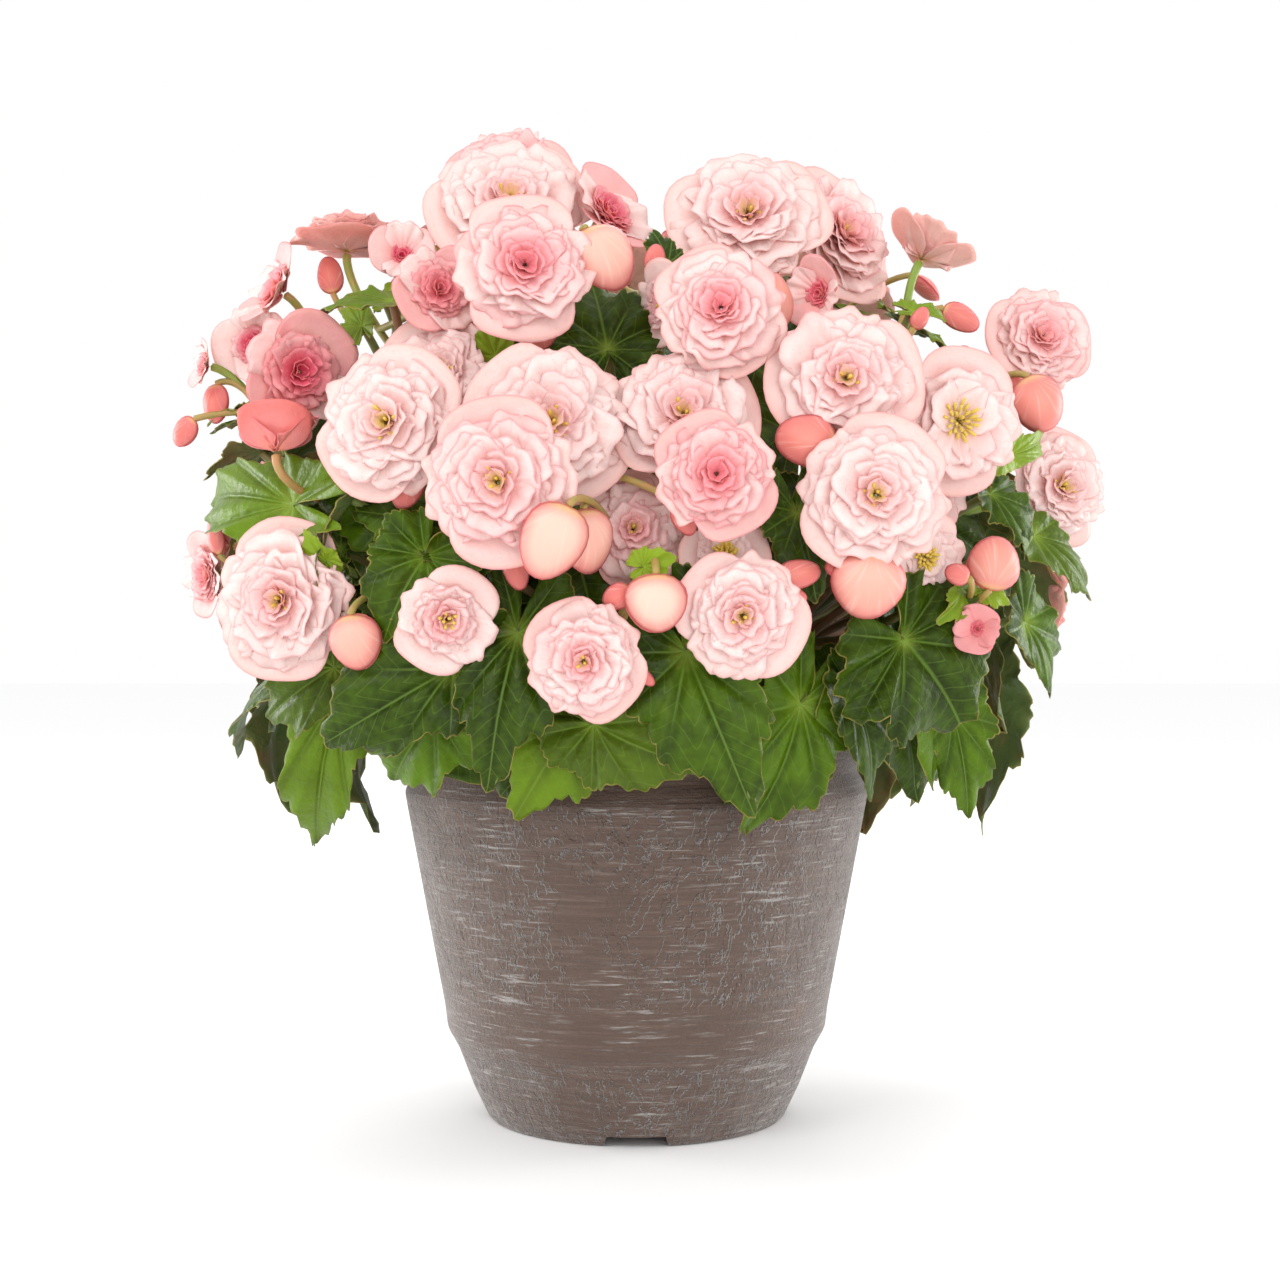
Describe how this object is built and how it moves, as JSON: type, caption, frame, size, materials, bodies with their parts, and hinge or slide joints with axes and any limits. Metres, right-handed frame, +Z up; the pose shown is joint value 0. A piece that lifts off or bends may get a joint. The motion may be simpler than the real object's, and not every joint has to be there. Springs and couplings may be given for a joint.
{
  "type": "potted begonia",
  "caption": "Bushy double-flowered begonia with pale pink blooms over toothed green leaves, in a tapered whitewashed resin pot.",
  "frame": {"origin": "middle of the pot's flat foot, on the surface that it stands on", "axes": "+Z up along the pot's axis, +X to the right of a viewer in front, -Y towards that viewer"},
  "size_m": [0.2799, 0.2432, 0.2992],
  "materials": {
    "pot": "taupe resin, brushed with a pale whitewash and crackled",
    "soil": "damp, crumbly bark and peat mix",
    "leafy_stem": "glossy living leaf",
    "bloom": "thin, faintly shining petal"
  },
  "bodies": {
    "root": {"pot": "pot", "soil": "soil", "leafy_stem_centre": "leafy_stem", "leafy_stem_front": "leafy_stem", "leafy_stem_front_left": "leafy_stem", "leafy_stem_front_right": "leafy_stem", "leafy_stem_back": "leafy_stem", "leafy_stem_back_left": "leafy_stem", "leafy_stem_back_right": "leafy_stem", "spray_top_left": "bloom", "spray_top_mid": "bloom", "spray_upper_left": "bloom", "spray_left": "bloom", "spray_left_edge": "bloom", "spray_left_cup": "bloom", "spray_mid_left": "bloom", "spray_mid": "bloom", "spray_mid_low": "bloom", "spray_mid_right": "bloom", "spray_heart": "bloom", "spray_top_right": "bloom", "spray_right_upper": "bloom", "spray_far_upper": "bloom", "spray_far_right": "bloom", "spray_right_open": "bloom", "spray_right": "bloom", "spray_right_edge": "bloom", "spray_right_low": "bloom", "spray_far_low": "bloom", "spray_low_mid": "bloom", "spray_low_centre": "bloom", "spray_low_front": "bloom", "spray_low_left": "bloom", "spray_low_side": "bloom", "spray_back_1": "bloom", "spray_back_2": "bloom", "spray_back_3": "bloom", "spray_back_4": "bloom", "spray_back_5": "bloom", "spray_back_6": "bloom", "spray_back_7": "bloom", "spray_back_8": "bloom", "spray_back_9": "bloom", "spray_back_10": "bloom", "spray_back_11": "bloom", "spray_back_12": "bloom"}
  },
  "joints": []
}
